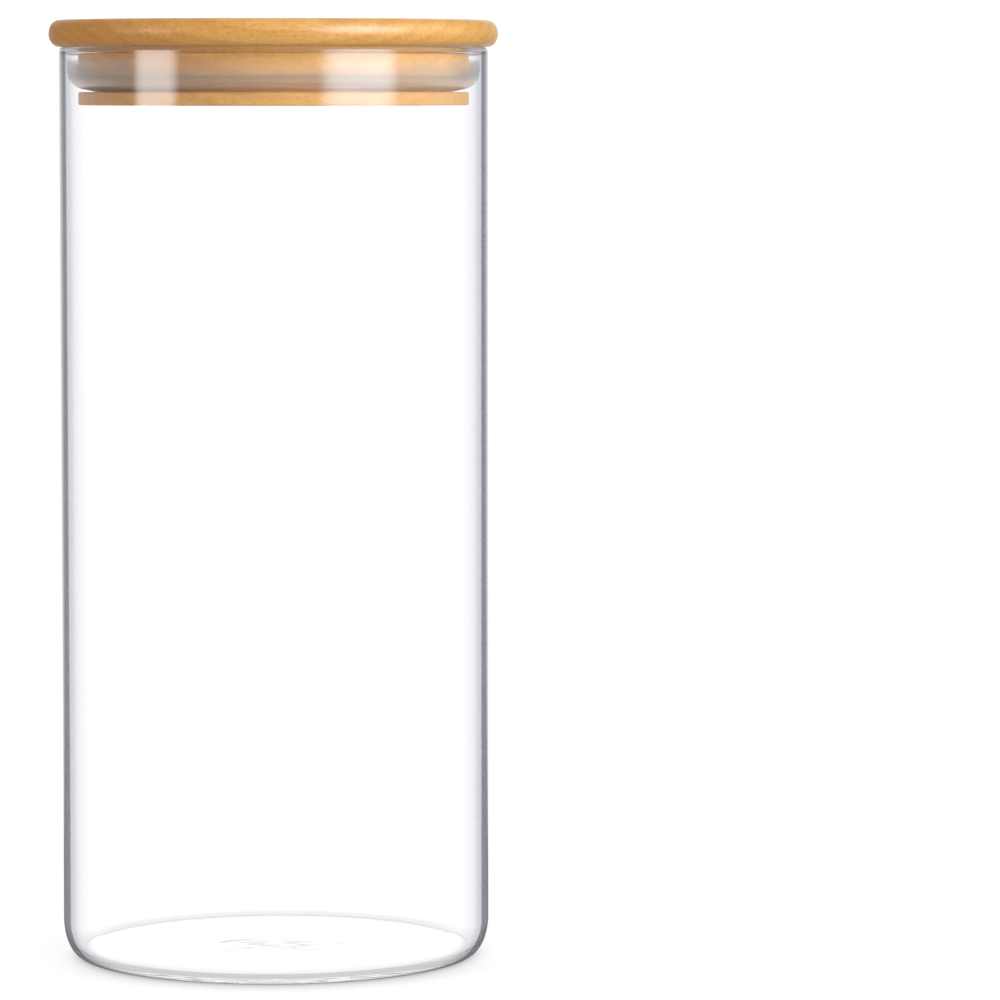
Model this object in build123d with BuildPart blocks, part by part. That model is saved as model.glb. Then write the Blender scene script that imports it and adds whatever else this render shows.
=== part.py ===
"""Lidded glass canister: a drawn glass jar, a turned wooden lid and the silicone ring between them.

Millimetres. The origin is the middle of the base, and +Z points up through the lid.
"""

from build123d import *
from math import radians, tan
import os

# Glass jar
jar_diameter = 100.0
jar_height = 212.9
wall_thickness = 1.7
base_thickness = 2.0
heel_width = 4.6  # from the wall in to the flat foot
heel_height = 9.0  # from the table up to where the wall is straight
foot_width = 9.0  # flat ring that the jar stands on, just inside the heel
punt_height = 0.9  # how far the middle of the base is pushed up off the table
rim_bead_diameter = 1.95  # fire-polished rim, thicker than the wall on its inner side
rim_bead_fade = 0.9  # height over which the bead thins to the wall

# Wooden lid
seat_gap = 0.1  # between the glass rim and the flange, which the silicone holds open
flange_overhang = 2.3
flange_thickness = 6.2
flange_edge_depth = 2.4  # from the flat faces of the flange out to its round rim
plug_gap = 2.55  # between the plug and the mouth of the jar
plug_depth = 13.5
plug_edge_radius = 0.35
groove_height = 3.8
groove_depth = 4.5
groove_lip_thickness = 3.0  # disc left below the groove

# Silicone ring
hub_radial_clearance = 0.08
hub_axial_clearance = 0.1
hub_thickness = 1.7
hub_foot_width = 0.5  # flat part under the hub
lip_clearance = 0.15  # between the lip and the bead that it passes when the lid is lifted
lip_thickness = 1.2
lip_tip_thickness = 0.9
lip_height = 5.6  # from the underside of the hub to the tip
lip_slope = 12.0  # degrees by which the lip climbs as it leaves the groove
lip_lean = 16.0  # degrees by which its upright part leans out to the glass
lip_curl_radius = 4.0  # underside of the bend from one to the other
lip_inner_curl_radius = 2.8

# Radii and heights that follow from the sizes above
jar_radius = jar_diameter / 2
bore_radius = jar_radius - wall_thickness
foot_outer_radius = jar_radius - heel_width
foot_inner_radius = foot_outer_radius - foot_width
inner_heel_width = heel_width - wall_thickness
inner_heel_height = heel_height - base_thickness
bead_radius = rim_bead_diameter / 2
mouth_radius = jar_radius - rim_bead_diameter
bead_middle = jar_height - bead_radius
bead_end = bead_middle - rim_bead_fade

flange_radius = jar_radius + flange_overhang
flange_flat_radius = flange_radius - flange_edge_depth
flange_bottom = jar_height + seat_gap
flange_top = flange_bottom + flange_thickness
half_flange = flange_thickness / 2
plug_radius = mouth_radius - plug_gap
plug_bottom = flange_bottom - plug_depth
groove_radius = plug_radius - groove_depth
groove_bottom = plug_bottom + groove_lip_thickness
groove_top = groove_bottom + groove_height

hub_inner_radius = groove_radius + hub_radial_clearance
hub_outer_radius = hub_inner_radius + hub_thickness
hub_bottom = groove_bottom + hub_axial_clearance
hub_top = groove_top - hub_axial_clearance
lip_root_radius = hub_inner_radius + hub_foot_width
lip_tip_radius = mouth_radius - lip_clearance
lip_tip_height = hub_bottom + lip_height
half_turn = radians(90 - lip_slope - lip_lean) / 2
curl_run = lip_curl_radius * tan(half_turn)
inner_curl_run = lip_inner_curl_radius * tan(half_turn)

os.makedirs("parts", exist_ok=True)

# Glass jar: half of its wall, drawn from the table up the outside, over the rim and down the inside
with BuildPart() as glass_jar:
    with BuildSketch(Plane.XZ):
        with BuildLine():
            heel_centre = (foot_outer_radius, heel_height)
            TangentArc((0, punt_height), (foot_inner_radius, 0), tangent=(1, 0))
            Line((foot_inner_radius, 0), (foot_outer_radius, 0))
            EllipticalCenterArc(heel_centre, heel_height, heel_width, rotation=-90)
            Line((jar_radius, heel_height), (jar_radius, bead_middle))
            TangentArc((jar_radius, bead_middle), (mouth_radius, bead_middle), tangent=(0, 1))
            fade_middle = ((mouth_radius + bore_radius) / 2, (bead_middle + bead_end) / 2)
            fade = TangentArc((mouth_radius, bead_middle), fade_middle, tangent=(0, -1))
            TangentArc(fade_middle, (bore_radius, bead_end), tangent=fade % 1)
            floor_middle = (0, punt_height + base_thickness)
            Line((bore_radius, bead_end), (bore_radius, heel_height))
            EllipticalCenterArc(heel_centre, inner_heel_height, inner_heel_width, rotation=-90)
            Line((foot_outer_radius, base_thickness), (foot_inner_radius, base_thickness))
            TangentArc(floor_middle, (foot_inner_radius, base_thickness), tangent=(1, 0))
            Line(floor_middle, (0, punt_height))
        make_face()
    revolve(axis=Axis.Z)

# Wooden lid: round-edged flange, then the plug with the groove that holds the ring
with BuildPart() as wooden_lid:
    with BuildSketch(Plane.XZ) as lid_profile:
        with BuildLine():
            edge_centre = (flange_flat_radius, flange_bottom + half_flange)
            Line((0, plug_bottom), (plug_radius, plug_bottom))
            Line((plug_radius, plug_bottom), (plug_radius, groove_bottom))
            Line((plug_radius, groove_bottom), (groove_radius, groove_bottom))
            Line((groove_radius, groove_bottom), (groove_radius, groove_top))
            Line((groove_radius, groove_top), (plug_radius, groove_top))
            Line((plug_radius, groove_top), (plug_radius, flange_bottom))
            Line((plug_radius, flange_bottom), (flange_flat_radius, flange_bottom))
            EllipticalCenterArc(edge_centre, half_flange, flange_edge_depth, arc_size=180, rotation=-90)
            Line((flange_flat_radius, flange_top), (0, flange_top))
            Line((0, flange_top), (0, plug_bottom))
        make_face()
        plug_corners = lid_profile.vertices().group_by(Axis.X)[-2].sort_by(Axis.Y)
        fillet(plug_corners[:-1], plug_edge_radius)
    revolve(axis=Axis.Z)

# Silicone ring: an upright hub in the groove, and a lip that climbs out of it and curls up along the glass
with BuildPart() as seal_ring:
    with BuildSketch(Plane.XZ):
        with BuildLine():
            climb = Vector(1, 0).rotate(Axis.Z, lip_slope)
            across = climb.rotate(Axis.Z, 90)
            rise = Vector(0, 1).rotate(Axis.Z, -lip_lean)
            root = Vector(lip_root_radius, hub_bottom)
            tip = Vector(lip_tip_radius, lip_tip_height)
            spread = climb.cross(rise).Z
            corner = root + climb * ((tip - root).cross(rise).Z / spread)
            knee = corner - climb * curl_run
            shoulder = corner + rise * curl_run
            inner_start = root + across * lip_thickness
            inner_tip = tip - Vector(lip_tip_thickness, 0)
            inner_corner = inner_start + climb * ((inner_tip - inner_start).cross(rise).Z / spread)
            inner_knee = inner_corner - climb * inner_curl_run
            inner_shoulder = inner_corner + rise * inner_curl_run
            inner_root = inner_knee - climb * ((inner_knee.X - hub_outer_radius) / climb.X)
            Line((hub_inner_radius, hub_bottom), root)
            Line(root, knee)
            TangentArc(knee, shoulder, tangent=climb)
            Line(shoulder, tip)
            Line(tip, inner_tip)
            Line(inner_tip, inner_shoulder)
            TangentArc(inner_knee, inner_shoulder, tangent=climb)
            Line(inner_knee, inner_root)
            Line(inner_root, (hub_outer_radius, hub_top))
            Line((hub_outer_radius, hub_top), (hub_inner_radius, hub_top))
            Line((hub_inner_radius, hub_top), (hub_inner_radius, hub_bottom))
        make_face()
    revolve(axis=Axis.Z)

glass_jar.part.label = "glass_jar"
export_step(glass_jar.part, "parts/glass_jar.step")
wooden_lid.part.label = "wooden_lid"
export_step(wooden_lid.part, "parts/wooden_lid.step")
seal_ring.part.label = "seal_ring"
export_step(seal_ring.part, "parts/seal_ring.step")

for piece in (glass_jar, wooden_lid, seal_ring):
    print(piece.part.label, "volume", round(piece.part.volume), "mm3")
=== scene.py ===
# %% [markdown]
# # A lidded glass canister
# The object is a tall, straight jar of clear glass. A round-edged wooden lid sits on it, and a milky silicone
# ring round the lid's plug seals the mouth. The CAD model already holds the right sizes and the moving
# bodies, so it is loaded first, as a frame that never changes. Every mesh below is laid over it in the same
# place, in metres, and then rides on one of its bodies.

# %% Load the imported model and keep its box
import math

import bpy
import numpy as np
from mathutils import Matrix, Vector


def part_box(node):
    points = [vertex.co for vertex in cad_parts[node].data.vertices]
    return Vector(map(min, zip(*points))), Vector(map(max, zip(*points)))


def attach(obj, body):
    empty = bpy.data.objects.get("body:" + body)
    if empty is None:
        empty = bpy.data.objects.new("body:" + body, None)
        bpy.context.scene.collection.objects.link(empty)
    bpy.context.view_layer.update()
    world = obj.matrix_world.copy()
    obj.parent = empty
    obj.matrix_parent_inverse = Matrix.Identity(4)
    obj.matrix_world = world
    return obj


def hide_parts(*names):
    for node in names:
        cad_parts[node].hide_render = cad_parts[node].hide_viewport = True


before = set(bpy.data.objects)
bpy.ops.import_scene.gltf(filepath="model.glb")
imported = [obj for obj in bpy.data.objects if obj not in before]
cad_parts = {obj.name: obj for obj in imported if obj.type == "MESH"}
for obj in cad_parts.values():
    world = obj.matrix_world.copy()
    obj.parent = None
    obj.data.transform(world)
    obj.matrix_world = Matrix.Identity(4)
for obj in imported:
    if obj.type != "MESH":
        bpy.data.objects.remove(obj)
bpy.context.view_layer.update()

# %% [markdown]
# ## Sizes
# The outer sizes are read from the frame, so that the dressed pieces can't outgrow the solids. The smaller
# ones, such as the wall of the glass or the groove in the plug, can't be read from a box, so each of them is
# named in the cell of its own piece.

# %% Outer sizes from the frame
mm = 0.001

jar_top_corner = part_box("glass_jar")[1]
jar_radius = jar_top_corner[0]
jar_height = jar_top_corner[2]

lid_low_corner, lid_top_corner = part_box("wooden_lid")
flange_radius = lid_top_corner[0]
flange_top = lid_top_corner[2]
plug_bottom = lid_low_corner[2]

seal_low_corner, seal_top_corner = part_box("seal_ring")
hub_bottom = seal_low_corner[2]
lip_tip_height = seal_top_corner[2]
print("jar", jar_radius, "x", jar_height, "flange", flange_radius, "plug bottom", plug_bottom)

# %% [markdown]
# ## From an outline to a turned mesh
# All three pieces are round: the glass was spun in a flame, the lid on a lathe, and the ring was moulded.
# Blender could turn an outline with its Screw modifier, but here a small function lays the rings of points
# itself. Later cells can then push single points about and give each stretch of an outline a finish of its
# own.
# An outline is a list of (radius, height) points that grows by straight runs, bends and ovals. A bend is the
# one circle arc that leaves a point in a given heading and meets the next point.

# %% Straight runs, bends and ovals of an outline
outward = (1, 0)
upward = (0, 1)
downward = (0, -1)


def bend(start, heading, end, steps):
    """Points on the circle arc that leaves start in that heading and reaches end, without start itself."""
    start, end = np.array(start, float), np.array(end, float)
    heading = np.array(heading, float) / np.hypot(*heading)
    side = np.array([-heading[1], heading[0]])
    chord = end - start
    radius = chord @ chord / (2 * (chord @ side))
    centre = start + radius * side
    sweep = 2 * math.atan2(chord @ side, chord @ heading)
    points = []
    for turn_angle in np.linspace(0, sweep, steps + 1)[1:]:
        out = heading * math.sin(turn_angle) - side * math.cos(turn_angle)
        points.append(tuple(centre + radius * out))
    points[-1] = tuple(end)
    return points


def oval(centre, width, height, start_turn, end_turn, steps):
    """Points on an upright oval round its centre, after one turn in degrees and up to another."""
    turns = np.radians(np.linspace(start_turn, end_turn, steps + 1))[1:]
    return [(centre[0] + width * math.cos(t), centre[1] + height * math.sin(t)) for t in turns]


def straight_to(outline, end, steps):
    """Adds a straight run from the last point of the outline to end."""
    outline.extend(tuple(p) for p in np.linspace(outline[-1], end, steps + 1)[1:])


def bend_to(outline, heading, end, steps):
    """Adds a bend that leaves the last point of the outline in that heading and reaches end."""
    outline.extend(bend(outline[-1], heading, end, steps))


print("a bend over a quarter turn:", np.round(bend((1, 0), upward, (0, 1), steps=3), 3).tolist())

# %% Turning an outline about the upright axis
on_axis = 1e-9
crease_angle = math.radians(40)


def turned_mesh(name, outline, segments, shape=None, closed=False, finish_of_row=None):
    """A smooth mesh turned from an outline that has its solid side on the left.

    shape(radius, height, angles) may return new radii and heights for one ring of points, and
    finish_of_row(row) the number of the material slot for the faces after that point of the outline.
    """
    angles = np.linspace(0, 2 * math.pi, segments, endpoint=False)
    vertices, rings = [], []
    for radius, height in outline:
        if radius < on_axis:
            rings.append([len(vertices)] * segments)
            vertices.append((0.0, 0.0, height))
            continue
        radii, heights = np.full(segments, radius), np.full(segments, height)
        if shape:
            radii, heights = shape(radius, height, angles)
        rings.append(list(range(len(vertices), len(vertices) + segments)))
        vertices.extend(zip(radii * np.cos(angles), radii * np.sin(angles), heights))
    faces, finishes = [], []
    rows = len(outline) if closed else len(outline) - 1
    for row in range(rows):
        lower, upper = rings[row], rings[(row + 1) % len(rings)]
        for j in range(segments):
            k = (j + 1) % segments
            corners = [lower[j], lower[k], upper[k], upper[j]]
            faces.append(list(dict.fromkeys(corners)))
            finishes.append(finish_of_row(row) if finish_of_row else 0)
    mesh = bpy.data.meshes.new(name)
    mesh.from_pydata(vertices, [], faces)
    mesh.polygons.foreach_set("material_index", finishes)
    mesh.shade_smooth()
    mesh.set_sharp_from_angle(angle=crease_angle)
    piece = bpy.data.objects.new(name, mesh)
    bpy.context.scene.collection.objects.link(piece)
    print(name, "has", len(vertices), "points and", len(faces), "faces")
    return piece


# %% [markdown]
# ## The glass jar
# The jar is a length of drawn tube. Its lower end was melted shut and blown a little, which leaves a tall
# oval heel, a flat foot ring and a slight hollow under the base. Its upper end was polished in a flame, and
# surface tension drew it into a bead a little thicker than the wall. A Solidify modifier could give a plain
# shell its thickness, but here the thickness changes at the heel and the bead, and glass shows its form only
# through what it bends. So the outside and the inside are drawn each with their own points, close together
# where they curve.

# %% Outside of the glass, from the middle of the base up and over the rim
heel_width = 4.6 * mm
heel_height = 9.0 * mm
foot_width = 9.0 * mm
punt_height = 0.9 * mm
rim_bead_diameter = 1.95 * mm
heel_steps = 32
wall_steps = 30
rim_steps = 20

foot_outer_radius = jar_radius - heel_width
foot_inner_radius = foot_outer_radius - foot_width
heel_centre = (foot_outer_radius, heel_height)
mouth_radius = jar_radius - rim_bead_diameter
bead_middle = jar_height - rim_bead_diameter / 2

jar_outline = [(0.0, punt_height)]
bend_to(jar_outline, outward, (foot_inner_radius, 0), steps=24)
straight_to(jar_outline, (foot_outer_radius, 0), steps=4)
jar_outline += oval(heel_centre, heel_width, heel_height, -90, 0, heel_steps)
straight_to(jar_outline, (jar_radius, bead_middle), wall_steps)
rim_start = len(jar_outline) - 1
bend_to(jar_outline, upward, (mouth_radius, bead_middle), rim_steps)
inside_start = len(jar_outline) - 1
print("the outside of the glass has", len(jar_outline), "points")

# %% Inside of the glass, from the rim down to the middle of the floor
wall_thickness = 1.7 * mm
base_thickness = 2.0 * mm
rim_bead_fade = 0.9 * mm
floor_step = 0.4 * mm
floor_step_run = 0.7 * mm
floor_step_rows = 3

bore_radius = jar_radius - wall_thickness
bead_end = bead_middle - rim_bead_fade
fade_middle = ((mouth_radius + bore_radius) / 2, (bead_middle + bead_end) / 2)
inner_heel_width = heel_width - wall_thickness
inner_heel_height = heel_height - base_thickness - floor_step
floor_middle = (0.0, base_thickness + punt_height)

bend_to(jar_outline, downward, fade_middle, steps=6)
fade_heading = np.subtract(fade_middle, jar_outline[-2])
bend_to(jar_outline, fade_heading, (bore_radius, bead_end), steps=6)
straight_to(jar_outline, (bore_radius, heel_height), wall_steps)
inner_heel = oval(heel_centre, inner_heel_width, inner_heel_height, 0, -90, heel_steps)
jar_outline += [point for point in inner_heel if point[0] > foot_outer_radius + floor_step_run]
floor_step_start = len(jar_outline) - 1
straight_to(jar_outline, (foot_outer_radius, base_thickness), floor_step_rows)
straight_to(jar_outline, (foot_inner_radius, base_thickness), steps=10)
floor_dome = bend(floor_middle, outward, jar_outline[-1], steps=60)
jar_outline += floor_dome[-2::-1] + [floor_middle]
print("the inside of the glass has", len(jar_outline) - inside_start, "points")

# %% [markdown]
# ## Marks of making in the glass
# A perfectly even mesh would look like plastic. The drawn tube keeps faint waves round its wall, and the
# place where the soft glass closed, a little off the middle of the floor, keeps a slight spiral ripple. A
# Displace modifier with a texture could do this, but a formula for each ring of points says plainly where the
# marks are and how deep.

# %% Waves of the drawn tube
draw_wave = 0.03 * mm
wave_fade = 20.0 * mm
wave_twist = 18.0 * mm


def tube_waves(height, angles):
    """How far the wall draws in at each angle: 2, 5 and 9 waves round the tube that fade out at both ends."""
    waves = 0.5 * np.cos(2 * angles + 0.6) + 0.3 * np.cos(5 * angles + 1.9)
    waves = waves + 0.2 * np.cos(9 * angles + height / wave_twist)
    upright = np.clip((height - heel_height) / wave_fade, 0, 1)
    upright = upright * np.clip((bead_end - height) / wave_fade, 0, 1)
    return draw_wave * upright * (1 + waves) / 2


deepest_wave = tube_waves(jar_height / 2, np.linspace(0, 2 * math.pi, 100)).max()
print("the wall draws in by up to", round(deepest_wave / mm, 3), "mm")

# %% Swirl in the floor
swirl_centre = (-1.5 * mm, -5.5 * mm)
swirl_flatness = 1.8
swirl_ripple = 0.02 * mm
swirl_size = 15.0 * mm
swirl_pitch = 5.2 * mm
swirl_reach = 22.0 * mm
reach_fade = 4.0 * mm
swirl_eye = 2.5 * mm
axis_fade = 1.5 * mm


def floor_swirl(radius, angles):
    """How far one ring of the floor is raised at each angle by the spiral ripple."""
    right = radius * np.cos(angles) - swirl_centre[0]
    back = (radius * np.sin(angles) - swirl_centre[1]) * swirl_flatness
    from_swirl = np.hypot(right, back)
    fade = np.exp(-((from_swirl / swirl_size) ** 2)) * min(1.0, (swirl_reach - radius) / reach_fade)
    centre_fade = np.minimum(1.0, from_swirl / swirl_eye) * min(1.0, radius / axis_fade)
    spiral = np.sin(2 * math.pi * from_swirl / swirl_pitch + np.arctan2(back, right))
    return swirl_ripple * fade * centre_fade * spiral


def glass_shape(radius, height, angles):
    """Radii and heights of one ring of the jar, with the marks that making it left in the glass."""
    radii = radius - tube_waves(height, angles)
    heights = np.full(len(angles), height)
    if radius <= swirl_reach and height > punt_height:
        heights = heights + floor_swirl(radius, angles)
    return radii, heights


print("the swirl reaches", round(swirl_reach / mm), "mm from the middle of the floor")

# %% The jar and its four skins
glass_skins = ["outer", "inner", "floor line", "rim"]
rim_rows_inside = 10
rim_rows = range(rim_start, inside_start + rim_rows_inside)
floor_line_rows = range(floor_step_start, floor_step_start + floor_step_rows)


def glass_finish(row):
    """Number of the glass skin for the faces after that point of the jar's outline."""
    if row in floor_line_rows:
        return glass_skins.index("floor line")
    if row in rim_rows:
        return glass_skins.index("rim")
    return glass_skins.index("inner" if row >= inside_start else "outer")


jar = turned_mesh("glass_jar_clear", jar_outline, segments=384, shape=glass_shape, finish_of_row=glass_finish)
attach(jar, "jar")
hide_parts("glass_jar")

# %% [markdown]
# ## The wooden lid
# The lid is turned in one piece from a board about 20 mm thick. The edge of its flange is a flattish oval,
# and the plug below it carries a groove for the ring, with a thin disc left under the groove. The shape could
# be cut from a cylinder with Booleans and a Bevel modifier, but a turner works along an outline, and so does
# this cell. Edges that a turner breaks with a touch of sandpaper are small bends, because a perfectly sharp
# edge never catches light as wood does. Plug, flange, disc and top each get a finish of their own.

# %% Outline of the plug, from its middle out and up to the flange
plug_gap = 2.55 * mm
groove_depth = 4.5 * mm
groove_height = 3.8 * mm
disc_thickness = 3.0 * mm
flange_thickness = 6.2 * mm
sanded_edge = 0.4 * mm
inner_corner = 0.15 * mm

plug_radius = mouth_radius - plug_gap
groove_radius = plug_radius - groove_depth
groove_bottom = plug_bottom + disc_thickness
groove_top = groove_bottom + groove_height
flange_bottom = flange_top - flange_thickness
sanded_radius = plug_radius - sanded_edge

lid_outline = [(0.0, plug_bottom)]
straight_to(lid_outline, (sanded_radius, plug_bottom), steps=12)
bend_to(lid_outline, outward, (plug_radius, plug_bottom + sanded_edge), steps=6)
straight_to(lid_outline, (plug_radius, groove_bottom - sanded_edge), steps=2)
bend_to(lid_outline, upward, (sanded_radius, groove_bottom), steps=6)
straight_to(lid_outline, (groove_radius, groove_bottom), steps=3)
disc_end = len(lid_outline) - 1
straight_to(lid_outline, (groove_radius, groove_top), steps=3)
straight_to(lid_outline, (sanded_radius, groove_top), steps=3)
bend_to(lid_outline, outward, (plug_radius, groove_top + sanded_edge), steps=6)
straight_to(lid_outline, (plug_radius, flange_bottom - inner_corner), steps=4)
bend_to(lid_outline, upward, (plug_radius + inner_corner, flange_bottom), steps=4)
print("plug", round(plug_radius / mm, 2), "mm and groove", round(groove_radius / mm, 2), "mm in radius")

# %% Outline of the flange, and the lid
flange_edge_depth = 2.4 * mm
flange_flat_radius = flange_radius - flange_edge_depth
half_flange = flange_thickness / 2
edge_centre = (flange_flat_radius, flange_bottom + half_flange)

flange_start = len(lid_outline) - 1
straight_to(lid_outline, (flange_flat_radius, flange_bottom), steps=3)
lid_outline += oval(edge_centre, flange_edge_depth, half_flange, -90, 90, steps=40)
top_start = len(lid_outline) - 1
straight_to(lid_outline, (0.0, flange_top), steps=16)
wood_finishes = ["plug", "flange", "disc", "top"]


def lid_finish(row):
    """Number of the wood finish for the faces after that point of the lid's outline."""
    if row >= top_start:
        return wood_finishes.index("top")
    if row >= flange_start:
        return wood_finishes.index("flange")
    return wood_finishes.index("disc" if row < disc_end else "plug")


lid = turned_mesh("wooden_lid_turned", lid_outline, segments=288, finish_of_row=lid_finish)
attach(lid, "lid")
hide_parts("wooden_lid")

# %% [markdown]
# ## The silicone ring
# The ring is moulded in one piece. An upright hub grips the floor of the groove, and a thin lip leaves the
# groove nearly level, bends up and leans out to the glass. A Solidify modifier could thicken a single line,
# but this lip is thick at its root and feathered at its edge. So the outline is two straight runs with a bend
# where they meet, drawn once for the underside and once for the upper side. Edge and roots are rounded, as in
# any soft moulding.

# %% Lines and bend of the lip
lip_slope = math.radians(12)
lip_lean = math.radians(16)
lip_thickness = 1.2 * mm
lip_curl_radius = 4.0 * mm
lip_inner_curl_radius = 2.8 * mm
tip_round = 0.42 * mm
glass_gap = 0.12 * mm
hub_clearance = 0.08 * mm
hub_thickness = 1.7 * mm
hub_foot_width = 0.5 * mm
hub_round = 0.4 * mm

hub_inner_radius = groove_radius + hub_clearance
hub_outer_radius = hub_inner_radius + hub_thickness
lip_tip_radius = bore_radius - glass_gap
climb = np.array([math.cos(lip_slope), math.sin(lip_slope)])
rise = np.array([math.sin(lip_lean), math.cos(lip_lean)])
lip_root = np.array([hub_inner_radius + hub_foot_width, hub_bottom])
tip = np.array([lip_tip_radius - tip_round * (1 - math.cos(lip_lean)),
                lip_tip_height - tip_round * (1 + math.sin(lip_lean))])
inner_start = lip_root + lip_thickness * np.array([-climb[1], climb[0]])
inner_tip = tip + 2 * tip_round * np.array([-rise[1], rise[0]])


def lip_bend(start, end, bend_radius):
    """Where a bend between the lip's level run and its upright run starts and ends."""
    gap = end - start
    share = (gap[0] * rise[1] - gap[1] * rise[0]) / (climb[0] * rise[1] - climb[1] * rise[0])
    corner = start + climb * share
    run = bend_radius * math.tan((math.pi / 2 - lip_slope - lip_lean) / 2)
    return corner - climb * run, corner + rise * run


knee, shoulder = lip_bend(lip_root, tip, lip_curl_radius)
inner_knee, inner_shoulder = lip_bend(inner_start, inner_tip, lip_inner_curl_radius)
inner_root_radius = hub_outer_radius + hub_round
inner_root = inner_knee - climb * (inner_knee[0] - inner_root_radius) / climb[0]
print("the lip bends up from radius", round(knee[0] / mm, 2), "to", round(shoulder[0] / mm, 2), "mm")

# %% Outline of the ring
feather_height = 2.0 * mm
feather_round = 0.1 * mm
root_rise = 0.32 * mm
hub_headroom = 0.1 * mm

feather_top = lip_tip_height + feather_height - feather_round
hub_top = groove_top - hub_headroom

ring_outline = [tuple(lip_root)]
straight_to(ring_outline, knee, steps=4)
bend_to(ring_outline, climb, shoulder, steps=16)
straight_to(ring_outline, tip, steps=8)
straight_to(ring_outline, (lip_tip_radius, feather_top), steps=6)
bend_to(ring_outline, upward, (lip_tip_radius - 2 * feather_round, feather_top), steps=6)
straight_to(ring_outline, inner_tip, steps=6)
straight_to(ring_outline, inner_shoulder, steps=8)
bend_to(ring_outline, -rise, inner_knee, steps=12)
straight_to(ring_outline, inner_root, steps=3)
bend_to(ring_outline, -climb, (hub_outer_radius, inner_root[1] + root_rise), steps=6)
straight_to(ring_outline, (hub_outer_radius, hub_top - hub_round), steps=3)
bend_to(ring_outline, upward, (hub_outer_radius - hub_round, hub_top), steps=6)
straight_to(ring_outline, (hub_inner_radius, hub_top), steps=3)
straight_to(ring_outline, (hub_inner_radius, hub_bottom), steps=6)

seal = turned_mesh("seal_ring_silicone", ring_outline, segments=288, closed=True)
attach(seal, "seal")
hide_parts("seal_ring")

# %% [markdown]
# ## Helpers for materials
# A procedural material is a graph of small nodes. It could be put together by hand in the Shader editor, but
# in a script every value can be read and changed in one place. The first helper adds a node, sets its inputs
# and links those whose value is another node's output. The others are short names for the nodes that are
# needed most.

# %% Adding nodes
def add(tree, kind, inputs=None, **settings):
    """A new shader node, with its settings and its inputs, which are values or other nodes' outputs."""
    node = tree.nodes.new("ShaderNode" + kind)
    for name, value in settings.items():
        setattr(node, name, value)
    for socket, value in (inputs or {}).items():
        if isinstance(value, bpy.types.NodeSocket):
            tree.links.new(value, node.inputs[socket])
        else:
            node.inputs[socket].default_value = value
    return node


def calculate(tree, operation, *values, clamp=False):
    """The result of a Math node."""
    return add(tree, "Math", dict(enumerate(values)), operation=operation, use_clamp=clamp).outputs[0]


def total(tree, first, *others):
    """Several values added up."""
    for other in others:
        first = calculate(tree, "ADD", first, other)
    return first


def product(tree, first, *others):
    """Several values multiplied with each other."""
    for other in others:
        first = calculate(tree, "MULTIPLY", first, other)
    return first


def smooth_range(tree, value, low, high, to_low=0.0, to_high=1.0):
    """value mapped smoothly from low..high to to_low..to_high."""
    limits = {"From Min": low, "From Max": high, "To Min": to_low, "To Max": to_high}
    return add(tree, "MapRange", {"Value": value, **limits}, interpolation_type="SMOOTHSTEP").outputs[0]


# %% Working with noise, places and directions
def noise(tree, place, scale, detail, **more):
    """Soft random patches; more holds further inputs of the Noise Texture node."""
    return add(tree, "TexNoise", {"Vector": place, "Scale": scale, "Detail": detail, **more}).outputs[0]


def new_vector(tree, operation, *vectors):
    """The vector that a Vector Math node gives."""
    return add(tree, "VectorMath", dict(enumerate(vectors)), operation=operation).outputs["Vector"]


def measure(tree, operation, *vectors):
    """The number that a Vector Math node gives, such as a length or a distance."""
    return add(tree, "VectorMath", dict(enumerate(vectors)), operation=operation).outputs["Value"]


def part_of(tree, vector, axis):
    """One of the three numbers of a vector."""
    return add(tree, "SeparateXYZ", {0: vector}).outputs[axis]


def object_place(tree):
    """Place on the object, in metres from its origin."""
    return add(tree, "TexCoord").outputs["Object"]


# %% [markdown]
# ## Handling marks
# Hands leave their traces on every surface of a canister: a faint unevenness of gloss, in patches about the
# size of a finger. It could be repeated in each material, but glass, wood and silicone all need it, at
# different strengths, so it is a node group that gives one mask.

# %% Handling marks group
streaks_per_metre = 420.0


def start_group(name, inputs, outputs):
    """A new node group with float inputs, given as {name: default}, and float outputs."""
    group = bpy.data.node_groups.new(name, "ShaderNodeTree")
    for socket, default in inputs.items():
        added = group.interface.new_socket(socket, in_out="INPUT", socket_type="NodeSocketFloat")
        added.default_value = default
    for socket in outputs:
        group.interface.new_socket(socket, in_out="OUTPUT", socket_type="NodeSocketFloat")
    return group, group.nodes.new("NodeGroupInput"), group.nodes.new("NodeGroupOutput")


handling_marks, marks_in, marks_out = start_group("handling_marks", {"Patches per metre": 45.0}, ["Mask"])
marks_place = object_place(handling_marks)
patches = noise(handling_marks, marks_place, marks_in.outputs["Patches per metre"],
                detail=3.0, Roughness=0.6, Distortion=0.6)
streaks = noise(handling_marks, marks_place, streaks_per_metre, detail=2.0)
patch_mask = smooth_range(handling_marks, patches, 0.42, 0.72)
streak_mask = smooth_range(handling_marks, streaks, 0.3, 0.75, 0.55, 1.0)
marks_mask = product(handling_marks, patch_mask, streak_mask)
handling_marks.links.new(marks_mask, marks_out.inputs["Mask"])
print("handling marks group has", len(handling_marks.nodes), "nodes")

# %% [markdown]
# ## Lines of drawing
# A tube that was drawn from the melt keeps faint lines along its length. They could be cut into the mesh, as
# the broad waves are, but they are far too fine for its points, so they are noise that is pulled out along
# the height, for a bump. Every skin of the glass needs them, so they are a node group too.

# %% Draw lines group
line_stretch = 0.0375

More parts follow.
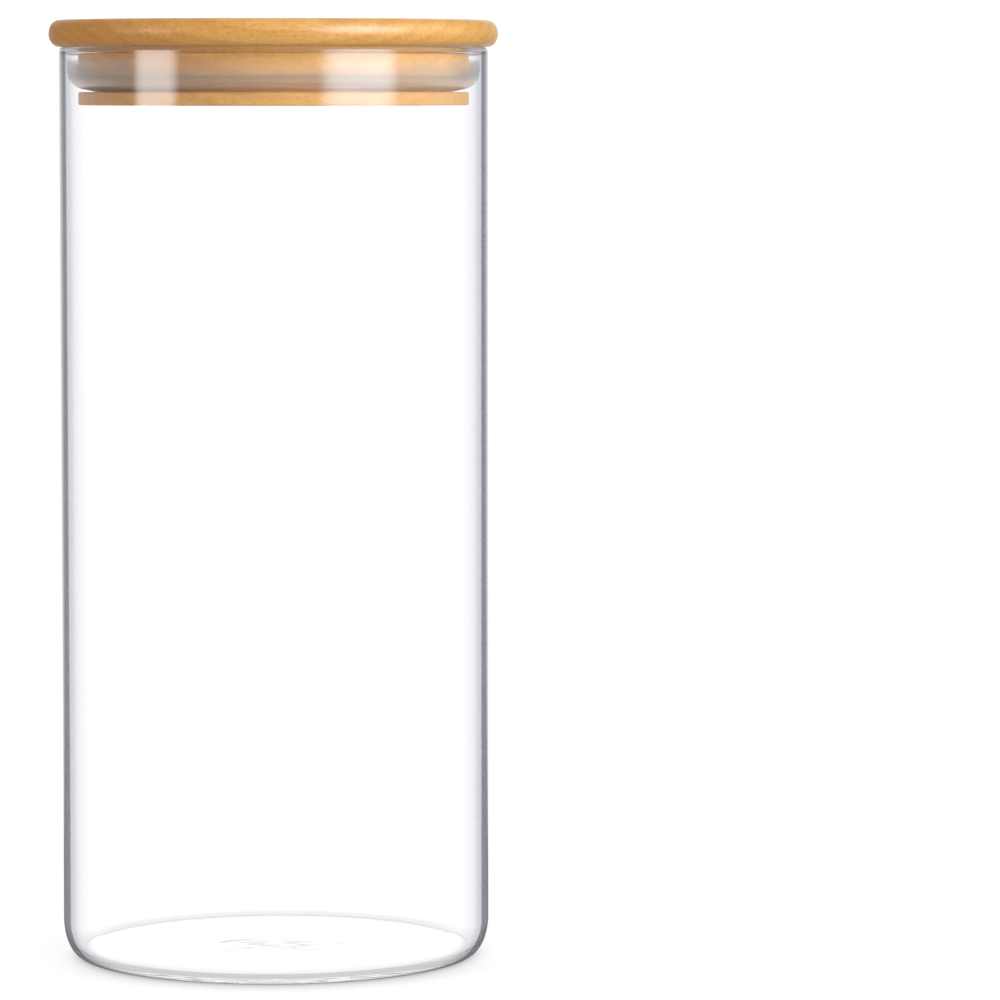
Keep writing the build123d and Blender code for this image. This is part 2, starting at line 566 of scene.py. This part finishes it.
draw_lines, lines_in, lines_out = start_group("draw_lines", {"Lines per metre": 160.0}, ["Height"])
along_tube = new_vector(draw_lines, "MULTIPLY", object_place(draw_lines), (1.0, 1.0, line_stretch))
lines_height = noise(draw_lines, along_tube, lines_in.outputs["Lines per metre"], detail=2.0)
draw_lines.links.new(lines_height, lines_out.inputs["Height"])
print("a line of drawing is about", round(1 / line_stretch), "times as long as it is wide")

# %% [markdown]
# ## Tints of the glass
# Clear glass on a white ground shows only at its edges, where the line of sight runs along the wall instead
# of through it and the glass pipes in light from the dim sides of the room. A studio gets those dark edges
# with black cards beside the object. Here painted dark edges, a tint by angle, stand in for them from every
# side: the outer skin is clear where it is met head on and painted dark where it is only grazed. The angle
# is taken as it would be in a level view, so that the jar stays clear to someone who looks in from above.
# The inner skin is nearly clear throughout. The small step round the floor has a light grey tint, a painted
# shade line, and the bead of the rim has a painted dark edge of its own that keeps the edge of the open jar
# in sight.

# %% Starting a material and colouring it
def start_material(name):
    """A new material, its node tree and its output node."""
    material = bpy.data.materials.new(name)
    material.use_nodes = True
    material.node_tree.nodes.clear()
    return material, material.node_tree, add(material.node_tree, "OutputMaterial")


def use_group(tree, group, inputs):
    """The group placed in a material, with that material's own values."""
    node = tree.nodes.new("ShaderNodeGroup")
    node.node_tree = group
    for socket, value in inputs.items():
        node.inputs[socket].default_value = value
    return node


def mix_colour(tree, factor, first, second, blend_type="MIX"):
    """Two colours mixed by a factor."""
    node = add(tree, "Mix", {0: factor, 6: first, 7: second}, data_type="RGBA", blend_type=blend_type)
    return node.outputs[2]


def colour_ramp(tree, factor, stops):
    """Colours blended along a factor; stops are (position, (r, g, b))."""
    node = add(tree, "ValToRGB", {"Fac": factor})
    marks = node.color_ramp.elements
    for spare in range(len(stops) - len(marks)):
        marks.new(1.0)
    for mark, (position, colour) in zip(marks, stops):
        mark.position = position
        mark.color = (*colour, 1.0)
    return node.outputs["Color"]


# %% Tint of each skin, from met head on to grazed
# painted dark edges of the outer skin: clear where met head on, dark where grazed
clear_to_painted_dark_edge = [(0.0, (1.0, 1.0, 1.0)), (0.50, (1.0, 1.0, 1.0)), (0.588, (0.89, 0.89, 0.92)),
                 (0.644, (0.78, 0.78, 0.825)), (0.69, (0.53, 0.53, 0.60)), (0.742, (0.47, 0.47, 0.545)),
                 (0.755, (0.07, 0.069, 0.095)), (1.0, (0.05, 0.05, 0.07))]
clear_throughout = [(0.0, (1.0, 1.0, 1.0)), (1.0, (0.97, 0.975, 0.98))]
# painted shade line: a light grey tint on the step round the floor
floor_painted_shade_line = [(0.0, (0.87, 0.88, 0.89)), (1.0, (0.84, 0.85, 0.86))]
# painted dark edge of the rim's bead: darker the more it is grazed
rim_painted_dark_edge = [(0.0, (0.79, 0.785, 0.78)), (0.65, (0.58, 0.575, 0.60)), (0.8, (0.30, 0.30, 0.34)),
            (1.0, (0.16, 0.16, 0.19))]
least_level_share = 0.01


def facing(tree, **normal):
    """How far the surface, or a given Normal, turns from the line of sight: 0 head on, 1 grazed."""
    return add(tree, "LayerWeight", {"Blend": 0.5, **normal}).outputs["Facing"]


def level_angle(tree, angle):
    """The facing angle as it would be if the line of sight were level."""
    straight_up = add(tree, "CombineXYZ", {"Z": 1.0}).outputs[0]
    # steep is 0 in a level view and 1 straight from above
    steep = calculate(tree, "SUBTRACT", 1.0, facing(tree, Normal=straight_up))
    level_share = calculate(tree, "SUBTRACT", 1.0, product(tree, steep, steep))
    level_share = calculate(tree, "SQRT", calculate(tree, "MAXIMUM", level_share, least_level_share))
    head_on = calculate(tree, "DIVIDE", calculate(tree, "SUBTRACT", 1.0, angle), level_share)
    return calculate(tree, "SUBTRACT", 1.0, head_on, clamp=True)


print("the outer skin is clear up to", clear_to_painted_dark_edge[1][0], "and dark from", clear_to_painted_dark_edge[-2][0])

# %% [markdown]
# ## Closing marks in the floor
# Where the soft glass was twisted shut, the floor keeps smudged spiral arms. Cutting them into the mesh gives
# hard rings, so they are a tint of the inner skin: a spiral from the distance and the turn about the eye of
# the swirl, broken up by noise. They show at a low angle, as in the picture, and almost vanish from above.

# %% Mask of the closing marks
mark_pitch = 9.0 * mm
mark_wander = 4.0
smudges_per_metre = 80.0
mark_full_reach = 11.0 * mm
mark_end = 27.0 * mm
mark_from_above = 0.08
mark_colour = (0.09, 0.055, 0.06, 1.0)


def closing_marks(tree, place, angle):
    """How strongly the closing marks show at a place on the floor."""
    flat_place = new_vector(tree, "MULTIPLY", place, (1.0, swirl_flatness, 0.0))
    eye_place = (swirl_centre[0], swirl_centre[1] * swirl_flatness, 0.0)
    in_swirl = new_vector(tree, "SUBTRACT", flat_place, eye_place)
    from_eye = measure(tree, "LENGTH", in_swirl)
    smudges = noise(tree, place, smudges_per_metre, detail=2.0, Distortion=1.0)
    turn = calculate(tree, "ARCTAN2", part_of(tree, in_swirl, "Y"), part_of(tree, in_swirl, "X"))
    turn = calculate(tree, "MULTIPLY_ADD", from_eye, 2 * math.pi / mark_pitch, turn)
    turn = calculate(tree, "MULTIPLY_ADD", smudges, mark_wander, turn)
    arms = smooth_range(tree, calculate(tree, "SINE", turn), -0.3, 1.0)
    broken = smooth_range(tree, smudges, 0.3, 0.7)
    near = smooth_range(tree, from_eye, mark_full_reach, mark_end, 1.0, 0.0)
    seen_low = smooth_range(tree, angle, 0.65, 0.88, mark_from_above, 1.0)
    return product(tree, arms, broken, near, seen_low)


print("closing marks fade out", round(mark_end / mm), "mm from the eye of the swirl")

# %% [markdown]
# ## Clear glass
# The Glass shader could bend the light of this borosilicate, but the Principled shader with full transmission
# does so too and is what other programs understand. Light that only needs to get through, to light the wood
# inside or the table below, takes the plain Transparent shader, which keeps the picture free of bright
# specks. Grazed glass and the heel let less of it through, and that gives the jar its thin shadow round the
# foot. A ray that was thrown to and fro too often would be cut off as black, so it gets the tone of the room.

# %% Clear glass materials
light_let_through = [(0.0, (1.0, 1.0, 1.0)), (0.7, (0.95, 0.95, 0.955)), (1.0, (0.3, 0.3, 0.32))]
dark_heel_end = 1.0 * mm
clear_heel_start = 5.0 * mm
heel_light = 0.05
lost_after = 23.5
room_tone = (0.6, 0.6, 0.61, 1.0)
black = (0.0, 0.0, 0.0, 1.0)


def light_through(tree, place, angle):
    """The shader for light that only passes through the glass."""
    height = part_of(tree, place, "Z")
    heel_share = smooth_range(tree, height, dark_heel_end, clear_heel_start, heel_light, 1.0)
    share = mix_colour(tree, heel_share, black, colour_ramp(tree, angle, light_let_through))
    return add(tree, "BsdfTransparent", {"Color": share})


def clear_glass(name, tint_by_angle, closed_here=False):
    """Polished clear glass with the faint lines of drawing, tinted by the angle at which it is met."""
    material, tree, output = start_material(name)
    place = object_place(tree)
    angle = facing(tree)
    tint = colour_ramp(tree, level_angle(tree, angle), tint_by_angle)
    if closed_here:
        tint = mix_colour(tree, closing_marks(tree, place, angle), tint, mark_colour)
    marks = use_group(tree, handling_marks, {"Patches per metre": 38.0}).outputs["Mask"]
    lines = use_group(tree, draw_lines, {"Lines per metre": 160.0}).outputs["Height"]
    ripple = add(tree, "Bump", {"Strength": 0.012, "Distance": 0.4 * mm, "Height": lines})
    glass = add(tree, "BsdfPrincipled", {"Base Color": tint, "Transmission Weight": 1.0, "IOR": 1.47,
                                         "Roughness": smooth_range(tree, marks, 0.5, 1.0, 0.0, 0.02),
                                         "Normal": ripple.outputs[0]})
    ray = add(tree, "LightPath").outputs
    only_light = calculate(tree, "MAXIMUM", ray["Is Shadow Ray"], ray["Is Diffuse Ray"])
    through = light_through(tree, place, angle)
    choice = add(tree, "MixShader", {0: only_light, 1: glass.outputs[0], 2: through.outputs[0]})
    lost = calculate(tree, "GREATER_THAN", ray["Ray Depth"], lost_after)
    room = add(tree, "Emission", {"Color": room_tone})
    surface = add(tree, "MixShader", {0: lost, 1: choice.outputs[0], 2: room.outputs[0]})
    tree.links.new(surface.outputs[0], output.inputs["Surface"])
    material.cycles.emission_sampling = "NONE"
    return material


outer_skin = clear_glass("clear_glass_outer_skin", clear_to_painted_dark_edge)
inner_skin = clear_glass("clear_glass_inner_skin", clear_throughout, closed_here=True)
# the step round the floor gets the painted shade line
line_skin = clear_glass("clear_glass_floor_line", floor_painted_shade_line)
# the bead of the rim gets its painted dark edge
rim_skin = clear_glass("clear_glass_rim", rim_painted_dark_edge)
for skin in (outer_skin, inner_skin, line_skin, rim_skin):
    jar.data.materials.append(skin)
print("glass skins:", [m.name for m in jar.data.materials])

# %% [markdown]
# ## Wood grain
# The lid is a close, honey-coloured wood. The board's fibres run from left to right, so the front of the rim
# shows long grain with short dark flecks, and the left and right ends show the tighter end grain. Painting
# that by hand would never agree round the edge, so the grain is a solid pattern in space: growth rings about
# a pith far below the board, fibres drawn out along X, and flecks. Wherever the lathe cuts it, the right
# figure appears. A mask also marks the left end of the lid, which gets painted shade there: darker, redder
# wood where the light falls weakly.

# %% Growth rings
pith = (0.0, 22.0 * mm, 120.0 * mm)
ring_width = 3.1 * mm
ring_drift = 9.0 * mm

grain_and_left_shade, grain_in, grain_out = start_group("grain_and_left_shade", {"Fleck strength": 1.0},
                                              ["Tone", "Flecks", "Left shade", "Relief"])
grain_place = object_place(grain_and_left_shade)


def fibre_noise(along, across, detail):
    """Noise in the wood, drawn out along the fibres by a smaller scale along X."""
    stretch = add(grain_and_left_shade, "Mapping", {"Vector": grain_place, "Scale": (along, across, across)})
    return noise(grain_and_left_shade, stretch.outputs[0], scale=1.0, detail=detail, Roughness=0.55)


drift = product(grain_and_left_shade, fibre_noise(along=9.0, across=34.0, detail=2.0), ring_drift)
cross_place = new_vector(grain_and_left_shade, "MULTIPLY", grain_place, (0.0, 1.0, 1.0))
from_pith = total(grain_and_left_shade, measure(grain_and_left_shade, "DISTANCE", cross_place, pith), drift)
ring_part = calculate(grain_and_left_shade, "FRACT", calculate(grain_and_left_shade, "DIVIDE", from_pith, ring_width))
late_wood = product(grain_and_left_shade, smooth_range(grain_and_left_shade, ring_part, 0.1, 0.8),
                    smooth_range(grain_and_left_shade, ring_part, 0.82, 1.0, 1.0, 0.0))
print("growth rings are about", round(ring_width / mm, 1), "mm wide")

# %% Fibres, flecks and the painted shade at the left end
late_wood_share = 0.14
fibre_share = 0.5
broad_share = 0.34
# painted shade at the left end of the lid: full up to the first x, gone by the second
left_shade_full = -32.0 * mm
left_shade_gone = 18.0 * mm
left_shade_wander = 30.0 * mm

fibres = fibre_noise(along=70.0, across=1400.0, detail=3.0)
broad_tone = fibre_noise(along=14.0, across=90.0, detail=2.0)
fleck_noise = fibre_noise(along=950.0, across=2400.0, detail=2.0)
fibre_tone = product(grain_and_left_shade, fibres, fibre_share)
tone = total(grain_and_left_shade, product(grain_and_left_shade, late_wood, late_wood_share), fibre_tone,
             product(grain_and_left_shade, broad_tone, broad_share))
flecks = product(grain_and_left_shade, smooth_range(grain_and_left_shade, fleck_noise, 0.48, 0.66),
                 grain_in.outputs["Fleck strength"])
along_board = part_of(grain_and_left_shade, grain_place, "X")
# mask of the painted shade at the left end, whose edge wanders with the broad tone
left_shade_place = calculate(grain_and_left_shade, "MULTIPLY_ADD", broad_tone, left_shade_wander, along_board)
left_shade = smooth_range(grain_and_left_shade, left_shade_place, left_shade_full, left_shade_gone, 1.0, 0.0)
relief = calculate(grain_and_left_shade, "SUBTRACT", fibre_tone, flecks)
for socket, value in (("Tone", tone), ("Flecks", flecks), ("Left shade", left_shade), ("Relief", relief)):
    grain_and_left_shade.links.new(value, grain_out.inputs[socket])
print("wood grain group has", len(grain_and_left_shade.nodes), "nodes")

# %% [markdown]
# ## Oiled and sanded wood
# The round edge of the flange is what the hand takes hold of, so it is oiled and rubbed to a satin gloss,
# less so at the left end. The plug, the disc under the groove and the flat top are only sanded, and the
# top hardly mirrors anything, or it would glare when it is seen from a low angle. Four separate materials
# could be drawn up, but it is one board. So one function makes them all from the same grain, and they differ
# only in colour and in gloss. The left end is painted darker and redder, as painted shade; the plug is
# painted lighter, as painted light where the flange shades it, and the disc darker, as painted shade.

# %% Wood materials
# painted shade at the left end: the colour there is multiplied by this tint, and the oil film thins
left_shade_tint = (0.92, 0.78, 0.68, 1.0)
left_end_oil = 0.1
fleck_depth = 0.42
fleck_dryness = 0.12


def turned_wood(name, colours, roughness, coat=0.0, marks_gloss=0.05, mirror=0.5):
    """Turned wood: colours from the grain with painted shade at the left end, gloss from the grain and from
    handling.
    """
    material, tree, output = start_material(name)
    grain = use_group(tree, grain_and_left_shade, {"Fleck strength": 0.8}).outputs
    marks = use_group(tree, handling_marks, {"Patches per metre": 60.0}).outputs["Mask"]
    tones = [(0.22, colours["pale"]), (0.5, colours["honey"]), (0.82, colours["dark"])]
    colour = colour_ramp(tree, grain["Tone"], tones)
    fleck_amount = product(tree, grain["Flecks"], fleck_depth)
    colour = mix_colour(tree, fleck_amount, colour, (*colours["fleck"], 1.0))
    # painted shade: the left end darker and redder
    colour = mix_colour(tree, grain["Left shade"], colour, left_shade_tint, "MULTIPLY")
    oil_film = smooth_range(tree, grain["Left shade"], 0.0, 1.0, coat, left_end_oil * coat) if coat else 0.0
    rubbed = calculate(tree, "SUBTRACT", roughness, product(tree, marks, marks_gloss))
    dry_flecks = product(tree, grain["Flecks"], fleck_dryness)
    rough = calculate(tree, "ADD", rubbed, dry_flecks, clamp=True)
    bump = add(tree, "Bump", {"Strength": 0.25, "Distance": 0.06 * mm, "Height": grain["Relief"]})
    wood = add(tree, "BsdfPrincipled", {"Base Color": colour, "Roughness": rough, "IOR": 1.5,
                                        "Specular IOR Level": mirror, "Coat Weight": oil_film,
                                        "Coat Roughness": 0.34, "Normal": bump.outputs[0]})
    tree.links.new(wood.outputs[0], output.inputs["Surface"])
    return material


# painted light and shade: the plug's colours are lighter than the flange's, where the flange shades it, and
# the disc's are darker
plug_colours_painted_light = {"pale": (0.86, 0.485, 0.135), "honey": (0.78, 0.41, 0.09), "dark": (0.60, 0.285, 0.052),
                "fleck": (0.44, 0.18, 0.034)}
disc_colours_painted_shade = {"pale": (0.715, 0.39, 0.10), "honey": (0.64, 0.326, 0.066), "dark": (0.50, 0.228, 0.04),
                "fleck": (0.38, 0.15, 0.027)}
flange_colours = {"pale": (0.775, 0.435, 0.115), "honey": (0.69, 0.35, 0.075), "dark": (0.525, 0.232, 0.042),
                  "fleck": (0.40, 0.155, 0.026)}
sanded_plug = turned_wood("sanded_wood_plug", plug_colours_painted_light, roughness=0.55)
oiled_flange = turned_wood("oiled_wood_flange", flange_colours, roughness=0.42, coat=0.8, marks_gloss=0.08)
sanded_disc = turned_wood("sanded_wood_disc", disc_colours_painted_shade, roughness=0.55)
sanded_top = turned_wood("sanded_wood_top", flange_colours, roughness=0.7, mirror=0.04)
for wood in (sanded_plug, oiled_flange, sanded_disc, sanded_top):
    lid.data.materials.append(wood)
print("wood finishes:", [m.name for m in lid.data.materials])

# %% [markdown]
# ## Milky silicone
# Silicone without pigment is neither clear nor white: it blurs what lies behind it and glows a little with
# the light that scatters inside. A true subsurface shader could do that, slowly and with noise. Principled
# with a partial, rough transmission gives both at once. The colour is warm low down and on the underside,
# a painted glow of the wood's light behind it, and milkier above. It is painted darker where the lip curves
# away, a painted dark edge, and painted darker at the left end of the lid, as painted shade like the wood's.
# Towards its feathered edge the lip thins out until it can hardly be seen.

# %% Colour of the silicone
milk_start = lip_tip_height - 3.8 * mm
milk_full = lip_tip_height - 1.2 * mm
# warm head on, and a painted dark edge where the lip is grazed
warm_to_painted_dark_edge = [(0.0, (0.83, 0.69, 0.50)), (0.4, (0.77, 0.64, 0.475)), (0.55, (0.56, 0.47, 0.37)),
                (0.66, (0.30, 0.27, 0.235)), (0.82, (0.07, 0.065, 0.06)), (1.0, (0.04, 0.038, 0.035))]
# painted light: the warm glow of the wood on the underside of the lip
painted_wood_glow_underside = (0.82, 0.66, 0.48, 1.0)
milk_tint = (0.84, 0.92, 1.0, 1.0)
# painted shade at the left end of the lid, as on the wood
silicone_left_shade_tint = (0.86, 0.76, 0.60, 1.0)
silicone_left_shade_strength = 0.85
dull_colour = (0.5, 0.45, 0.4, 1.0)
dull_strength = 0.12


def silicone_colour(tree, height, marks):
    """Colour of the silicone by angle, height and handling, with a painted dark edge, a painted warm glow of
    the wood below and painted shade at the left end.
    """
    # painted dark edge where the lip curves away
    colour = colour_ramp(tree, facing(tree), warm_to_painted_dark_edge)
    tilt = part_of(tree, add(tree, "NewGeometry").outputs["Normal"], "Z")
    # painted light: surfaces that face down take the warm glow of the wood
    underside = smooth_range(tree, tilt, -0.75, -0.15, 1.0, 0.0)
    colour = mix_colour(tree, underside, colour, painted_wood_glow_underside)
    milk = smooth_range(tree, height, milk_start, milk_full)
    colour = mix_colour(tree, milk, colour, milk_tint, "MULTIPLY")
    # painted shade at the left end, from the same mask as the wood's
    left_shade_mask = use_group(tree, grain_and_left_shade, {}).outputs["Left shade"]
    silicone_left_shade = product(tree, left_shade_mask, silicone_left_shade_strength)
    colour = mix_colour(tree, silicone_left_shade, colour, silicone_left_shade_tint, "MULTIPLY")
    return mix_colour(tree, product(tree, marks, dull_strength), colour, dull_colour)


print("the silicone turns milky over", round((milk_full - milk_start) / mm, 1), "mm")

# %% Silicone material
film_start = lip_tip_height - 2.4 * mm
film_end = lip_tip_height + feather_height
film_body = 0.05


def milky_silicone(name):
    """Silicone that blurs what lies behind it and thins out towards its feathered edge."""
    material, tree, output = start_material(name)
    marks = use_group(tree, handling_marks, {"Patches per metre": 120.0}).outputs["Mask"]
    height = part_of(tree, object_place(tree), "Z")
    body = add(tree, "MapRange", {"Value": height, "From Min": film_start, "From Max": film_end,
                                  "To Min": 1.0, "To Max": film_body})
    skin = add(tree, "BsdfPrincipled", {"Base Color": silicone_colour(tree, height, marks),
                                        "Roughness": smooth_range(tree, marks, 0.0, 1.0, 0.24, 0.26),
                                        "IOR": 1.41, "Transmission Weight": 0.78, "Alpha": body.outputs[0]})
    through = add(tree, "BsdfTransparent", {"Color": (0.93, 0.9, 0.87, 1.0)})
    shadow = add(tree, "LightPath").outputs["Is Shadow Ray"]
    surface = add(tree, "MixShader", {0: shadow, 1: skin.outputs[0], 2: through.outputs[0]})
    tree.links.new(surface.outputs[0], output.inputs["Surface"])
    return material


seal.data.materials.append(milky_silicone("milky_silicone"))
print("ring finish:", seal.data.materials[0].name)

# %% [markdown]
# ## The table
# The canister stands on a plain white table that runs on past the picture. A large plane would do, but its
# corners show up in the glass from some sides, so the table is round.

# %% Round white table
table_radius = 6.0
table_gap = 0.05 * mm

table_mesh = bpy.data.meshes.new("white_table")
table_turns = np.linspace(0, 2 * math.pi, 256, endpoint=False)
table_edge = [(table_radius * math.cos(t), table_radius * math.sin(t), -table_gap) for t in table_turns]
table_mesh.from_pydata(table_edge, [], [range(len(table_edge))])
table = bpy.data.objects.new("white_table", table_mesh)
bpy.context.scene.collection.objects.link(table)
print("table is", 2 * table_radius, "m wide")

# %% [markdown]
# ## White table top
# The camera and the glass see the table glow by itself, so that it reads as white without more light on the
# object. Its matt part still takes the light. The soft shade where the foot meets the table could be left to
# the lamps, but glass casts hardly any, so it comes from the Ambient Occlusion node, narrow at the sides of
# the foot and wider in front of it. In a mirror the table looks as the room does: white behind the canister,
# dim elsewhere.

# %% Shade round the foot
nook_reach = 12.0 * mm
shade_start = foot_outer_radius - 1.5 * mm
shade_full = foot_outer_radius + 0.5 * mm
under_start = 28.0 * mm
under_strength = 0.42
front_full = -40.0 * mm
front_gone = -5.0 * mm
side_reach = 6.0 * mm
front_reach = 42.0 * mm


def mix_value(tree, factor, first, second):
    """Two numbers mixed by a factor."""
    return add(tree, "Mix", {0: factor, 2: first, 3: second}).outputs[0]


def foot_shade(tree, place):
    """Brightness of the table, which falls off where the foot of the jar is near."""
    nook = add(tree, "AmbientOcclusion", {"Distance": nook_reach}, samples=16).outputs["AO"]
    narrow = smooth_range(tree, nook, -0.1, 0.6, 0.5, 1.0)
    wide = smooth_range(tree, nook, -0.1, 0.95, 0.53, 1.0)
    depth = part_of(tree, place, "Y")
    from_sides = smooth_range(tree, calculate(tree, "ABSOLUTE", depth), side_reach, front_reach)
    shade = mix_value(tree, from_sides, narrow, wide)
    from_axis = measure(tree, "LENGTH", place)
    beside_foot = smooth_range(tree, from_axis, shade_start, shade_full)
    in_front = smooth_range(tree, depth, front_full, front_gone, 1.0, 0.0)
    under_foot = smooth_range(tree, from_axis, under_start, foot_outer_radius, 0.0, under_strength)
    shaded = calculate(tree, "MAXIMUM", beside_foot, product(tree, in_front, under_foot))
    return mix_value(tree, shaded, 1.0, shade)


print("the table is shaded up to", round(nook_reach / mm), "mm from the foot")

# %% Table material
def cosine(degrees):
    """Cosine of an angle in degrees."""
    return math.cos(math.radians(degrees))


dim_room = 0.21
backdrop_edge = cosine(27)
backdrop_full = cosine(9)
glow_direct = 0.90
glow_through = 1.11
matt_white = (0.75, 0.75, 0.75, 1.0)
matt_seen = (0.12, 0.12, 0.12, 1.0)


def level_heading(tree, direction):
    """A direction without its slope, one unit long."""
    return new_vector(tree, "NORMALIZE", new_vector(tree, "MULTIPLY", direction, (1.0, 1.0, 0.0)))


def mirrored_room(tree, direction):
    """How bright the room is in a mirror: a white backdrop behind the canister, and dim at the sides."""
    backward = part_of(tree, level_heading(tree, direction), "Y")
    return smooth_range(tree, backward, backdrop_edge, backdrop_full, dim_room, 1.0)


def white_table_top(name):
    """A table that glows white to the camera and through the glass, and takes light as matt paint does."""
    material, tree, output = start_material(name)
    place = object_place(tree)
    ray = add(tree, "LightPath").outputs
    direct = product(tree, ray["Is Camera Ray"], glow_direct)
    through = product(tree, ray["Is Transmission Ray"], glow_through)
    seen = product(tree, total(tree, direct, through), foot_shade(tree, place))
    mirrored = calculate(tree, "SUBTRACT", ray["Is Glossy Ray"], ray["Is Transmission Ray"])
    mirrored = product(tree, mirrored, mirrored_room(tree, place))
    glow = add(tree, "Emission", {"Strength": total(tree, seen, mirrored)})
    shade = mix_colour(tree, ray["Is Camera Ray"], matt_white, matt_seen)
    shade = mix_colour(tree, ray["Is Glossy Ray"], shade, black)
    matt = add(tree, "BsdfDiffuse", {"Color": shade})
    surface = add(tree, "AddShader", {0: matt.outputs[0], 1: glow.outputs[0]})
    tree.links.new(surface.outputs[0], output.inputs["Surface"])
    material.cycles.emission_sampling = "NONE"
    return material


table_mesh.materials.append(white_table_top("white_table_top"))
print("table finish:", table_mesh.materials[0].name)

# %% [markdown]
# ## The studio
# The light comes from soft boxes: a small one on the left, a broad one on the right, two high ones, and a
# pale ceiling. Area lamps could stand in for them, but here they are drawn into the world as patches of
# brightness with soft edges, so they light the wood and also show as the two upright streaks in the glass.
# Behind the canister, another patch lights only matt surfaces, so that the back of the lid isn't black.

# %% Soft boxes drawn into the world
world = bpy.data.worlds.new("studio")
bpy.context.scene.world = world
world.use_nodes = True
studio = world.node_tree
studio.nodes.clear()
look = add(studio, "TexCoord").outputs["Generated"]
look_up = part_of(studio, look, "Z")
look_level = level_heading(studio, look)


def sine(degrees):
    """Sine of an angle in degrees."""
    return math.sin(math.radians(degrees))


def soft_box(bearing, half_width, lowest, highest, soft, brightness):
    """A patch of light; bearing is in degrees to the right of the camera's side of the object."""
    toward = (sine(bearing), -cosine(bearing), 0.0)
    aim = measure(studio, "DOT_PRODUCT", look_level, toward)
    width = smooth_range(studio, aim, cosine(half_width + soft), cosine(half_width - soft))
    lower_edge = smooth_range(studio, look_up, sine(lowest - soft), sine(lowest + soft))
    upper_edge = smooth_range(studio, look_up, sine(highest - soft), sine(highest + soft), 1.0, 0.0)
    return product(studio, width, lower_edge, upper_edge, brightness)


left_box = soft_box(bearing=-65.8, half_width=10.8, lowest=-6, highest=11, soft=5, brightness=4.0)
right_box = soft_box(bearing=47.0, half_width=17.2, lowest=-12, highest=32, soft=8, brightness=8.0)
left_high_box = soft_box(bearing=-80, half_width=16, lowest=24, highest=48, soft=8, brightness=1.3)
high_box = soft_box(bearing=38, half_width=38, lowest=36, highest=62, soft=12, brightness=0.9)
side_card = soft_box(bearing=85, half_width=23, lowest=-20, highest=40, soft=12, brightness=1.3)
back_box = soft_box(bearing=180, half_width=28, lowest=-5, highest=50, soft=10, brightness=1.8)
print("soft boxes take", len(studio.nodes), "nodes")

# %% [markdown]
# ## What each kind of ray sees of the studio
# A photographer moves lamps and cards until the wood, the streaks in the glass and the background each look
# right, and then still has to trade one against the other. Here the Light Path node tells the rays apart.
# Matt surfaces get the boxes and the ceiling. Mirrors get stronger streaks, a card at the right and the white
# backdrop, and the right and high boxes look cool in them, as daylight does beside lamps. The camera, and
# what is seen through the glass, get a plain white room.

# %% Light for matt surfaces and for mirrors
room_light = 0.18
ceiling_light = 0.42
left_streak_gain = 2.35
right_streak_gain = 1.25

ceiling = smooth_range(studio, look_up, 0.3, 0.95, 0.0, ceiling_light)
matt_light = total(studio, ceiling, room_light, back_box, left_box, right_box, left_high_box, high_box)
left_streak = product(studio, left_box, left_streak_gain)
right_streak = product(studio, right_box, right_streak_gain)
mirrored = total(studio, left_streak, left_high_box, side_card, mirrored_room(studio, look))
world_ray = add(studio, "LightPath").outputs
only_mirrored = calculate(studio, "SUBTRACT", world_ray["Is Glossy Ray"], world_ray["Is Transmission Ray"],
                          clamp=True)
daylight = product(studio, total(studio, right_streak, high_box), only_mirrored)
print("streaks are", left_streak_gain, "and", right_streak_gain, "times as bright as their boxes")

# %% Light for the camera, and the world put together
cool_tone = (0.64, 0.86, 1.06, 1.0)
white = (1.0, 1.0, 1.0, 1.0)

seen_through = smooth_range(studio, look_up, 0.45, 0.85, 1.12, 0.95)
seen_directly = calculate(studio, "MAXIMUM", seen_through, 1.0)
brightness = mix_value(studio, world_ray["Is Glossy Ray"], matt_light, mirrored)
brightness = mix_value(studio, world_ray["Is Transmission Ray"], brightness, seen_through)
brightness = mix_value(studio, world_ray["Is Camera Ray"], brightness, seen_directly)
white_light = add(studio, "Background", {"Color": white, "Strength": brightness})
cool_light = add(studio, "Background", {"Color": cool_tone, "Strength": daylight})
all_light = add(studio, "AddShader", {0: white_light.outputs[0], 1: cool_light.outputs[0]})
add(studio, "OutputWorld", {"Surface": all_light.outputs[0]})
print("world has", len(studio.nodes), "nodes")

# %% [markdown]
# ## The camera
# The picture was taken from about lid height with a long lens: the lid shows as a band with hardly any curve,
# while the base is seen from a little above. The canister stands left of the middle of the picture. A shifted
# lens could place it there, but a camera that is turned a little does the same and is easier to follow.

# %% Camera
camera_distance = 1.25
camera_height = 0.205
focal_length = 192.2
picture_middle = Vector((0.0528, 0.0, 0.1069))
glass_bounces = 32

camera_data = bpy.data.cameras.new("camera")
camera_data.lens = focal_length
camera_data.sensor_width = 36.0
camera = bpy.data.objects.new("camera", camera_data)
camera.location = (0.0, -camera_distance, camera_height)
camera.rotation_euler = (picture_middle - camera.location).to_track_quat("-Z", "Y").to_euler()
bpy.context.scene.collection.objects.link(camera)
bpy.context.scene.camera = camera
bpy.context.scene.view_settings.view_transform = "Standard"
bpy.context.scene.cycles.max_bounces = glass_bounces
bpy.context.scene.cycles.glossy_bounces = glass_bounces
bpy.context.scene.cycles.transmission_bounces = glass_bounces
bpy.context.scene.cycles.transparent_max_bounces = glass_bounces
print("camera looks down by", round(90 - math.degrees(camera.rotation_euler.x), 2), "degrees")
